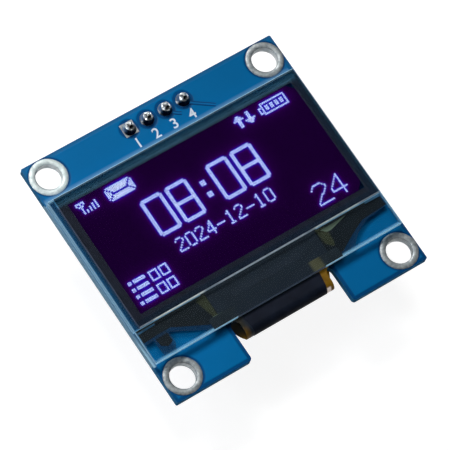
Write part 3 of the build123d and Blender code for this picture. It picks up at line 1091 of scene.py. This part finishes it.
@dataclass
class Screen:
    """Light-emitting stack behind the front glass, with its lit picture.

    Sizes are in millimetres, but the glow's spreads are in dots.
    """

    pitch: float = 0.23
    left_inset: float = 0.645
    top_inset: float = 0.435
    corner: float = 0.9
    dot_gap: float = 0.022
    behind_glass: float = 0.015
    glow_margin: float = 0.34
    spreads: tuple[Point, ...] = ((0.85, 1.25), (4.0, 0.35))

    def glow(self, picture: DotPicture, columns: np.ndarray, rows: np.ndarray) -> np.ndarray:
        """Work out how much light each place gets from the lit dots around it.

        Args:
            picture: the lit dots.
            columns: places across, in dots.
            rows: places down, in dots.

        Returns:
            One value for each place, about one at the middle of a stroke.
        """
        lit = np.array(sorted(picture.lit), float) + 0.5
        values = np.zeros(len(columns))
        for index in range(len(columns)):
            reach = (lit[:, 0] - columns[index]) ** 2 + (lit[:, 1] - rows[index]) ** 2
            values[index] = sum(
                np.exp(-reach / (2 * spread**2)).sum() / (math.tau * spread**2) * share
                for spread, share in self.spreads
            )
        return values

    def build_sheet(self, picture: DotPicture, left: float, top: float, level: float) -> Object:
        """Model the stack as one flat sheet with a face for each dot.

        Args:
            picture: the lit dots.
            left: left side of the dots.
            top: upper side of the dots.
            level: height of the sheet.

        Returns:
            The sheet.
        """
        low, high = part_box("pixel_layer")
        width, height = picture.columns * self.pitch * MM, picture.rows * self.pitch * MM
        take()
        bpy.ops.mesh.primitive_grid_add(
            x_subdivisions=picture.columns,
            y_subdivisions=picture.rows,
            size=1,
            location=(left + width / 2, top - height / 2, level),
        )
        piece = bpy.context.object
        piece.scale = (width, height, 1)
        apply_place(piece)
        # Each side grows in two steps, so that the glow of the outer dots stays near them.
        for axis, start, end in (
            (0, left, low.x),
            (0, left + width, high.x),
            (1, top, high.y),
            (1, top - height, low.y),
        ):
            near = start + math.copysign(self.glow_margin * MM, end - start)
            for at, to in ((start, near), (near, end)):
                move = [0.0, 0.0, 0.0]
                move[axis] = to - at
                extrude_edges(piece, lambda place: abs(place[axis] - at) < SAME_PLACE, move)
        for side, y in ((1, high.y), (-1, low.y)):
            with edit_mode():
                bpy.ops.mesh.select_all(action="SELECT")
                bpy.ops.mesh.bisect(
                    plane_co=(high.x - self.corner * MM, y, level), plane_no=(1, side, 0), clear_outer=True
                )
        return piece

    def build(self, unlit: Material, lit: Material) -> Object:
        """Model the lit picture and dress it.

        Args:
            unlit: material of the dark field.
            lit: material of the lit dots.

        Returns:
            The finished piece.
        """
        picture = Picture().draw()
        low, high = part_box("pixel_layer")
        left, top = low.x + self.left_inset * MM, high.y - self.top_inset * MM
        piece = self.build_sheet(picture, left, top, high.z - self.behind_glass * MM)
        mesh = piece.data
        places = np.array([vertex.co for vertex in mesh.vertices])
        step = self.pitch * MM
        values = self.glow(picture, (places[:, 0] - left) / step, (top - places[:, 1]) / step)
        glow = mesh.attributes.new("glow", "FLOAT", "POINT")
        glow.data.foreach_set("value", values.astype(np.float32))

        def is_lit(place: Vector) -> bool:
            """Tell whether a face's centre is a lit dot."""
            return (math.floor((place.x - left) / step), math.floor((top - place.y) / step)) in picture.lit

        count = select_parts(piece, "FACE", is_lit)
        with edit_mode():
            bpy.ops.mesh.inset(thickness=self.dot_gap / 2 * MM, use_individual=True)
        for face in mesh.polygons:
            face.material_index = 1 if face.select else 0
        LOG.info("picture: %d lit dots, %d lit faces", len(picture.lit), count)
        return settle(piece, "pixel_field", (unlit, lit), replaces="pixel_layer")


@dataclass
class MountRing:
    """Plated hole with a rounded, lumpy coat of tin on both faces. Sizes are in millimetres."""

    bore: float = 1.6
    crown: float = 0.11
    lump_size: float = 0.9
    lump_height: float = 0.03
    segments: int = 96
    tube_segments: int = 24
    lean: float = 0.06
    wall_end: float = 0.1
    wall_slope: float = 0.1

    def build(self, index: int, tin: Material, lining: Material) -> Object:
        """Model one ring over its frame node.

        Args:
            index: number of the hole.
            tin: material of the coat.
            lining: material of the barrel's wall.

        Returns:
            The finished piece.
        """
        node = f"hole_plating_{index}"
        low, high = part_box(node)
        board_low, board_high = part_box("circuit_board")
        centre_x, centre_y = (low.x + high.x) / 2, (low.y + high.y) / 2
        reach, bore = (high.x - low.x) / 2, self.bore * MM
        # The molten coat ran a little to the left on the two left rings.
        lean = -self.lean * MM if centre_x < 0 else 0.0
        shells = []
        for level in (board_low.z, board_high.z):
            take()
            bpy.ops.mesh.primitive_torus_add(
                location=(centre_x + lean, centre_y, level),
                major_radius=(reach + bore) / 2,
                minor_radius=(reach - bore) / 2,
                major_segments=self.segments,
                minor_segments=self.tube_segments,
            )
            shell = bpy.context.object
            shell.scale.z = 2 * self.crown * MM / (reach - bore)
            apply_place(shell)
            shells.append(shell)
        take()
        bpy.ops.mesh.primitive_cylinder_add(
            vertices=self.segments,
            radius=bore,
            depth=board_high.z - board_low.z,
            end_fill_type="NOTHING",
            location=(centre_x, centre_y, (board_low.z + board_high.z) / 2),
        )
        ring = bpy.context.object
        apply_place(ring)
        take(ring, *shells)
        bpy.ops.object.join()
        lumps = bpy.data.textures.new(f"{node}_lumps", "CLOUDS")
        lumps.noise_scale = self.lump_size * MM
        shift = ring.modifiers.new("lumps", "DISPLACE")
        shift.texture = lumps
        shift.strength = self.lump_height * MM
        bpy.ops.object.modifier_apply(modifier=shift.name)
        bpy.ops.object.shade_smooth()
        end = self.wall_end * MM
        for face in ring.data.polygons:
            is_between = board_low.z + end < face.center.z < board_high.z - end
            face.material_index = int(is_between and abs(face.normal.z) < self.wall_slope)
        return settle(ring, f"tinned_ring_{index}", (tin, lining), replaces=node)


@dataclass
class Tracks:
    """Copper tracks under the mask: a raised line in a darker gap. Points are in millimetres."""

    width: float = 0.24
    gap_width: float = 0.5
    gap_relief: float = 0.02
    relief: float = 0.03
    fed_capacitors: tuple[int, ...] = (1, 2, 4, 5)
    front: tuple[Outline, ...] = (
        ((4.3, 14.1), (5.6, 13.2), (6.9, 12.3)),
        ((1.9, 14.0), (2.4, 13.6), (2.75, 13.4)),
    )

    def rear_routes(self) -> tuple[Outline, ...]:
        """Lead tracks from the tail's lands to the chip parts above them."""
        start = box_in_mm("tail_lands")[1].y - 0.2
        routes = []
        for index in self.fed_capacitors:
            low, high = box_in_mm(f"capacitor_{index}")
            x = (low.x + high.x) / 2
            routes.append(((x + 0.5, start), (x + 0.5, start + 0.4), (x, start + 0.9), (x, low.y - 0.3)))
        return tuple(routes)

    def build(self, over_gap: Material, over_copper: Material) -> None:
        """Model gaps and tracks of both faces as flat round-edged lines.

        Args:
            over_gap: mask over bare laminate.
            over_copper: mask over copper.
        """
        low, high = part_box("circuit_board")
        for side, routes in ((Side.FRONT, self.front), (Side.REAR, self.rear_routes())):
            for kind, width, relief, paint in (
                ("track_gaps", self.gap_width, self.gap_relief, over_gap),
                ("tracks", self.width, self.relief, over_copper),
            ):
                name = f"{kind}_{side.name.lower()}"
                piece = draw_lines(
                    name,
                    routes,
                    closed=False,
                    dimensions="3D",
                    bevel_depth=width / 2 * MM,
                    bevel_resolution=2,
                    use_fill_caps=True,
                )
                piece.scale.z = 2 * relief / width
                piece.location.z = high.z if side is Side.FRONT else low.z
                settle(piece, name, (paint,))


@dataclass
class PinNumbers:
    """Printed numbers beside the header's pins. Sizes are in millimetres."""

    height: float = 1.35
    height_to_size: float = 1.38
    boldness: float = 0.02
    thickness: float = 0.02
    gap_below_land: float = 1.25
    numbers: str = "1234"

    def build(self, ink: Material) -> Object:
        """Model the numbers as thin raised print.

        Args:
            ink: material of the print.

        Returns:
            The finished piece.
        """
        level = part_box("circuit_board")[1].z
        marks = []
        for number in self.numbers:
            low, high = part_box(f"header_land_{number}")
            take()
            bpy.ops.object.text_add()
            text = bpy.context.object.data
            text.body = number
            text.align_x, text.align_y = "CENTER", "CENTER"
            text.size = self.height * MM * self.height_to_size
            text.offset = self.boldness * MM
            text.extrude = self.thickness / 2 * MM
            bpy.ops.object.convert(target="MESH")
            mark = bpy.context.object
            place = ((low.x + high.x) / 2, low.y - self.gap_below_land * MM, level + self.thickness / 2 * MM)
            mark.location = place
            apply_place(mark)
            marks.append(mark)
        take(*marks)
        bpy.ops.object.join()
        return settle(bpy.context.object, "pin_numbers", (ink,))


@dataclass
class Ledge:
    """Thin wiring films behind the glass, round the picture and on the ledge, some of them painted light.
    Sizes are in millimetres.

    Each film has its name, its finish, how far it lies behind the glass, and its outline.
    """

    films: tuple[tuple[str, str, float, Outline], ...] = (
        (
            *("wiring_left", "fan", 0.008),
            ((-17.3, -7.25), (-7.9, -7.25), (-7.9, -11.6), (-9.3, -10.9), (-13.6, -8.8), (-17.3, -8.9)),
        ),
        (
            *("wiring_right", "fan", 0.008),
            (
                *((7.6, -7.25), (17.0, -7.25), (17.0, -8.8), (13.4, -9.0)),
                *((11.3, -10.0), (9.3, -11.1), (7.6, -11.5)),
            ),
        ),
        (
            *("fine_lines_left", "halo", 0.014),
            ((-17.45, -7.25), (-7.9, -7.25), (-7.9, -11.75), (-9.7, -11.4), (-14.2, -9.1), (-17.45, -9.3)),
        ),
        (
            *("fine_lines_right", "halo", 0.014),
            (
                *((7.6, -7.25), (17.05, -7.25), (17.05, -8.9), (14.0, -9.2)),
                *((12.0, -10.2), (10.4, -11.75), (7.6, -11.75)),
            ),
        ),
        (
            *("test_pad", "fan", 0.02),
            ((-15.9, -8.9), (-14.2, -8.8), (-14.2, -10.3), (-15.0, -10.6), (-15.7, -10.2)),
        ),
        (
            *("pad_smear", "halo", 0.026),
            ((-16.2, -8.9), (-14.0, -8.8), (-14.0, -10.6), (-14.5, -11.6), (-16.0, -11.5)),
        ),
        ("column_1", "column", 0.003, ((7.8, -7.3), (9.1, -7.5), (9.0, -9.5), (8.7, -10.1), (7.9, -9.3))),
        (
            *("column_2", "column", 0.003),
            ((-9.3, -7.6), (-8.0, -7.4), (-8.0, -10.4), (-8.5, -10.3), (-8.9, -9.0)),
        ),
        ("column_3", "column", 0.003, ((-6.4, -10.35), (-5.65, -10.3), (-5.6, -11.7), (-6.4, -11.7))),
        # The pale lines, end lines and edge lines below are painted light, not wiring.
        ("pale_line_1", "pale_line", 0.001, ((8.3, -7.6), (12.0, -7.55), (9.5, -8.2), (8.9, -8.15))),
        ("pale_line_2", "pale_line", 0.001, ((-8.6, -10.2), (-6.3, -10.3), (-6.3, -10.4), (-8.6, -10.35))),
        ("end_line_1", "end_line", 0.002, ((-17.45, -7.5), (-14.9, -7.45), (-14.9, -7.65), (-17.45, -7.75))),
        ("end_line_2", "end_line", 0.002, ((14.9, -7.3), (17.05, -7.25), (17.05, -7.55), (14.9, -7.5))),
        ("edge_line_1", "edge_line", 0.001, rectangle(-17.5, -11.8, -6.4, -11.2)),
        ("edge_line_2", "edge_line", 0.001, rectangle(6.1, -11.8, 17.1, -11.2)),
    )
    masking_end: float = -10.4
    masking_overlap: float = 0.3
    masking_depth: float = 0.02
    masking_gap: float = 0.02
    thickness: float = 0.004
    frame_depth: float = 0.008
    frame_clearance: float = 0.02
    bead_width: float = 0.16
    bead_height: float = 0.15
    bead_round: float = 0.13

    def add_film(self, name: str, outlines: Iterable[Outline], metal: Material, depth: float) -> None:
        """Model a flat film from closed outlines.

        Args:
            name: name of the piece.
            outlines: the outer outline, then any openings.
            metal: its material.
            depth: how far it lies behind the glass.
        """
        half = self.thickness / 2
        piece = draw_lines(name, outlines, closed=True, dimensions="2D", fill_mode="BOTH", extrude=half * MM)
        piece.location = (0.0, 0.0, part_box("substrate_glass")[0].z - (half + depth) * MM)
        settle(piece, name, (metal,))

    def add_frame(self, metal: Material) -> None:
        """Model the wiring that runs round the picture under the film's edge."""
        film_low, film_high = box_in_mm("polariser")
        view_low, view_high = box_in_mm("pixel_layer")
        gap = self.frame_clearance
        outer = rectangle(film_low.x, film_low.y, film_high.x, film_high.y)
        inner = rectangle(view_low.x - gap, view_low.y - gap, view_high.x + gap, view_high.y + gap)
        self.add_film("picture_wiring", (outer, inner), metal, self.frame_depth)

    def add_bead(self, glue: Material) -> None:
        """Model the bead of clear glue along the film's lower edge."""
        low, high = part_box("polariser")
        width, height = self.bead_width * MM, self.bead_height * MM
        take()
        bpy.ops.mesh.primitive_cube_add(size=1)
        bead = bpy.context.object
        bead.scale = (high.x - low.x, width, height)
        bead.location = ((low.x + high.x) / 2, low.y - width / 2, low.z + height / 2)
        apply_place(bead)
        edge = Vector((0.0, low.y - width, low.z + height))
        select_parts(bead, "EDGE", lambda place: (place - edge).yz.length < SAME_PLACE)
        with edit_mode():
            bpy.ops.mesh.bevel(offset=self.bead_round * MM, segments=3)
        settle(bead, "film_edge_bead", (glue,))

    def add_masking(self, paint: Material) -> None:
        """Model the dark masking between the picture and the flexible circuit, over the driver chip."""
        low, high = box_in_mm("chip_tape")
        left, right = low.x - self.masking_overlap, high.x + self.masking_overlap
        top = box_in_mm("cap_glass")[0].y - self.masking_gap
        chip_low, chip_high = box_in_mm("driver_chip")
        strips = (
            rectangle(left, chip_high.y, right, top),
            rectangle(left, chip_low.y, chip_low.x, chip_high.y),
            rectangle(chip_high.x, chip_low.y, right, chip_high.y),
            rectangle(left, self.masking_end, right, chip_low.y),
        )
        for index, strip in enumerate(strips, start=1):
            self.add_film(f"ledge_masking_{index}", (strip,), paint, self.masking_depth)

    def build(self, finishes: dict[str, Material], glue: Material) -> None:
        """Model the films and the bead.

        Args:
            finishes: materials of the films by their finish, with "masking" and "rim".
            glue: material of the bead.
        """
        for name, finish, depth, outline in self.films:
            self.add_film(f"ledge_{name}", (outline,), finishes[finish], depth)
        self.add_masking(finishes["masking"])
        self.add_frame(finishes["rim"])
        self.add_bead(glue)


@dataclass
class Studio:
    """Paper floor and backdrop, soft lamps, world and camera. Sizes are in metres."""

    floor_reach: float = 1.6
    floor_segments: int = 96
    floor_gap: float = 0.00002
    rim_share: float = 0.99
    wall_height: float = 1.2
    # Each lamp: name, place, side, power in watts and colour.
    lamps: tuple[tuple[str, tuple[float, float, float], float, float, str], ...] = (
        ("key_lamp", (0.02, 0.34, 0.447), 0.18, 2.15, "#fffefb"),
        ("left_lamp", (-0.36, 0.14, 0.40), 0.20, 0.9, "#f3f8ff"),
    )
    world_tone: str = "#f7fafc"
    world_strength: float = 0.22
    camera_place: tuple[float, float, float] = (-0.12110, -0.09442, 0.33399)
    camera_target: tuple[float, float, float] = (-0.00075, -0.00117, 0.00100)
    camera_up: tuple[float, float, float] = (0.46263, 0.79609, 0.39015)
    lens: float = 251.2
    clear_layers: int = 24

    def build_floor(self) -> None:
        """Model the paper: a flat floor that rises in a round wall."""
        take()
        bpy.ops.mesh.primitive_circle_add(
            vertices=self.floor_segments,
            radius=self.floor_reach,
            fill_type="NGON",
            location=(0.0, 0.0, cad_low.z - self.floor_gap),
        )
        floor = bpy.context.object
        apply_place(floor)
        rim = self.floor_reach * self.rim_share
        extrude_edges(floor, lambda place: math.hypot(place.x, place.y) > rim, (0, 0, self.wall_height))
        floor.name = "studio_floor"
        floor.data.materials.append(Paper().build())

    def build_lamps(self) -> None:
        """Hang the square soft lamps, which face the module, and set the world."""
        for name, place, size, power, colour in self.lamps:
            lamp = bpy.data.lights.new(name, "AREA")
            lamp.shape = "SQUARE"
            lamp.size = size
            lamp.energy = power
            lamp.color = linear(colour)[:3]
            holder = bpy.data.objects.new(name, lamp)
            holder.location = place
            holder.rotation_euler = (-Vector(place)).to_track_quat("-Z", "Y").to_euler()
            bpy.context.collection.objects.link(holder)
        world = bpy.data.worlds.new("studio_world")
        world.use_nodes = True
        backdrop = world.node_tree.nodes["Background"]
        backdrop.inputs["Color"].default_value = linear(self.world_tone)
        backdrop.inputs["Strength"].default_value = self.world_strength
        bpy.context.scene.world = world

    def build_camera(self) -> None:
        """Place the camera at the photograph's viewing angle."""
        lens = bpy.data.cameras.new("camera")
        lens.lens = self.lens
        lens.sensor_width = 36.0
        lens.clip_start = 0.01
        lens.clip_end = 10.0
        camera = bpy.data.objects.new("camera", lens)
        bpy.context.collection.objects.link(camera)
        place, target = Vector(self.camera_place), Vector(self.camera_target)
        back = (place - target).normalized()
        right = Vector(self.camera_up).cross(back).normalized()
        turn = Matrix((right, back.cross(right), back)).transposed().to_4x4()
        camera.matrix_world = Matrix.Translation(place) @ turn
        bpy.context.scene.camera = camera

    def build(self) -> None:
        """Set up floor, lamps, world, camera and colour transform."""
        self.build_floor()
        self.build_lamps()
        self.build_camera()
        bpy.context.scene.view_settings.view_transform = "Standard"
        bpy.context.scene.cycles.transparent_max_bounces = self.clear_layers


@dataclass
class Module:
    """The whole display module: dresses the frame's nodes and adds the pieces they lack."""

    mask: SolderMask = SolderMask()

    def dress_board(self) -> None:
        """Finish the laminate, the plated rings and the lands."""
        dress(self.mask.build(), "circuit_board")
        coat, pale_coat, lining = (
            Finish(*values, metallic=metallic).build()
            for *values, metallic in (
                # Hot-levelled tin: cool silver grey, cloudy, with a soft uneven shine.
                ("hot_levelled_tin", "#adb3b5", "#747d83", 1.0, 0.42, 0.12, 0.5, 0.35, 0.02, 0.3, 0.55),
                # The same tin, paler and duller, on the upper left ring.
                ("fluxed_tin", "#e4efef", "#bccacc", 1.0, 0.45, 0.12, 0.6, 0.35, 0.012, 0.5, 0.35),
                # The barrel's wall, thinly tinned and bright.
                ("tinned_barrel", "#f2f5f5", "#ccd4d6", 1.0, 0.35, 0.1, 0.5, 0.35, 0.01, 0.5, 0.3),
            )
        )
        dress(coat, "hole_plating", "header_land", "tail_lands", "chip_lands", "chip_end_caps", "lead_lands")
        for index in range(1, 5):
            low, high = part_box(f"hole_plating_{index}")
            is_upper_left = high.x < 0 < low.y
            MountRing().build(index, pale_coat if is_upper_left else coat, lining)
        # The mask over gaps and tracks: blue, smooth and half glossy.
        gap, track = (
            Finish(name, tone, second, 0.4, 0.35, 0.1, 2.0, 0.9, 0.004, 0.1).build()
            for name, tone, second in (
                ("mask_over_laminate", self.mask.over_laminate, "#02406f"),
                ("mask_over_track", self.mask.over_copper, "#02609b"),
            )
        )
        Tracks().build(gap, track)

    def dress_parts(self) -> None:
        """Finish the header, the panel, the flexible circuit and the parts behind the board."""
        for finish, *starts in (
            # Tinned brass wire under a skin of solder: bright silver above, painted shade nearly black below.
            (
                WettedMetal("tinned_brass_wire", "#f4f8fa", "#20242c", 0.25, 0.5, 0.06),
                *("header_pin", "regulator_leads", "diode_leads"),
            ),
            # Reflowed tin solder: wet and wavy, with painted shade on its lower side.
            (
                WettedMetal("tin_solder", "#eef4f8", "#101622", 0.28, 0.45, 0.12),
                *("header_solder", "tail_solder", "chip_solder"),
            ),
            # Glass-filled nylon: deep black, half matt from the mould.
            (
                Finish("glass_filled_nylon", "#141414", "#242424", 0.5, 0.45, 0.1, 0.6, 0.06, 0.004),
                "header_housing",
            ),
            # Display glass: clear, with ground edges in painted light and shade and a painted pale blue glow.
            (PanelGlass(), "substrate_glass", "cap_glass"),
            # Circular polariser: dark teal grey, hard coated and faintly hazy, its cut painted pale along the
            # lower side.
            (
                Film("circular_polariser", "#aeb0b0", "#101418", 0.03, "#aebcc0", "#0c131b", 0.12, 0.1),
                "polariser",
            ),
            # Cured edge resin: nearly clear with a cool haze, tinted blue as painted light from the board
            # behind it.
            (
                Film("cured_seal_resin", "#eef6fa", "#1d4a6c", 0.35, "#9fb6c4", "#2a4458", 0.4, 0.1),
                "edge_seal",
            ),
            # Acrylic foam tape: off-white, matt.
            (
                Finish("acrylic_foam_tape", "#d8d6cf", "#bdbab0", 0.6, 0.75, 0.1, 0.5, 0.1, 0.01, 0.3),
                "panel_adhesive",
            ),
            # Calcium oxide sheet: chalky white.
            (
                Finish("drying_sheet", "#e4e2dc", "#cfccc4", 0.6, 0.85, 0.1, 0.5, 0.1, 0.01, 0.2),
                "desiccant_sheet",
            ),
            # Bare silicon: blue black with a mirror shine.
            (
                Finish("bare_silicon", "#17222f", "#1c2839", 0.5, 0.4, 0.1, 1.5, 0.4, 0.0005, 0.2),
                "driver_chip",
            ),
            # Black polyester tape: navy black under the glass.
            (
                Finish("black_polyester_tape", "#1a2433", "#202d3d", 0.6, 0.4, 0.1, 2.5, 0.3, 0.002, 0.12),
                "chip_tape",
            ),
            # Polyimide: golden in the open, with dark conductors down its middle.
            (Polyimide(), "flex_circuit"),
            # Black cover film: matt ink blue black, slightly wavy.
            (
                Finish("black_cover_film", "#111622", "#192132", 0.6, 0.36, 0.12, 1.8, 0.5, 0.004, 0.1),
                "flex_cover",
            ),
            # Flash gold on copper: warm and bright.
            (
                Finish("flash_gold", "#e6c06a", "#b98d3a", 1.0, 0.22, 0.1, 0.5, 0.15, 0.003, metallic=1.0),
                "tail_fingers",
            ),
            # Sintered ceramic: tan, matt, finely speckled.
            (
                Finish("sintered_ceramic", "#a98a68", "#8b6d4e", 0.6, 0.55, 0.1, 0.25, 0.05, 0.004, 0.35),
                "capacitor",
            ),
            # Glazed resistor body: black over white alumina.
            (Finish("glazed_resistor", "#1a1a1c", "#2b2b2e", 0.5, 0.25, 0.1, 0.4, 0.08, 0.002), "resistor"),
            # Moulded epoxy: charcoal with a fine eroded texture.
            (
                Finish("moulded_epoxy", "#1d1d1f", "#2e2e30", 0.5, 0.55, 0.1, 0.3, 0.05, 0.006, 0.45),
                *("regulator_body", "diode_body"),
            ),
        ):
            dress(finish.build(), *starts)

    def add_pieces(self) -> None:
        """Add the lit picture, the print and the ledge's wiring."""
        Screen().build(PixelField().build(), LitDots().build())
        # White epoxy ink: slightly bluish over the mask.
        ink = Finish("white_epoxy_ink", "#dfeaf4", "#c3d6e6", 0.5, 0.55, 0.1, 0.3, 0.06, 0.004, 0.3)
        PinNumbers().build(ink.build())
        finishes = {
            # Dense fans of lines: smoky and nearly black.
            "fan": Wiring("ledge_thin_film_wiring", "#0f1922", 0.9),
            # Sparse fine lines beside the fans: a blue veil over the board.
            "halo": Wiring("ledge_fine_lines", "#104068", 0.35),
            # Wide supply lines: dull olive.
            "column": Wiring("ledge_supply_lines", "#3c4030", 0.75),
            # Pale green grey painted highlights on the ledge.
            "pale_line": Wiring("ledge_bus_lines", "#6d7c6c", 0.7),
            # Lines at the ledge's ends: steel blue painted light where the cap glass's lower edge shows
            # through.
            "end_line": Wiring("ledge_getter_lines", "#3f6c90", 0.7),
            # Painted light that the ground lower edge sends back into the glass.
            "edge_line": Wiring("ledge_edge_glow", "#9edcff", 0.7, None, 0.0, -11.8, -11.25),
            # Masking ink: dense navy black.
            "masking": Wiring("ledge_masking_ink", "#16212e", 1.0),
            # Wiring round the picture: smoky violet grey, pale blue where light enters at the top edge.
            "rim": Wiring("picture_thin_film_wiring", "#4a4c63", 0.92, "#7cd0ff", 0.85, 9.8, 11.0),
        }
        Ledge().build({use: finish.build() for use, finish in finishes.items()}, GlueBead().build())

    def build(self) -> None:
        """Build every sub-assembly in order."""
        self.dress_board()
        self.dress_parts()
        self.add_pieces()


def main() -> None:
    """Build the module and its studio."""
    logging.basicConfig(level=logging.INFO, format="%(name)s %(message)s")
    Module().build()
    Studio().build()


if __name__ == "__main__":
    main()
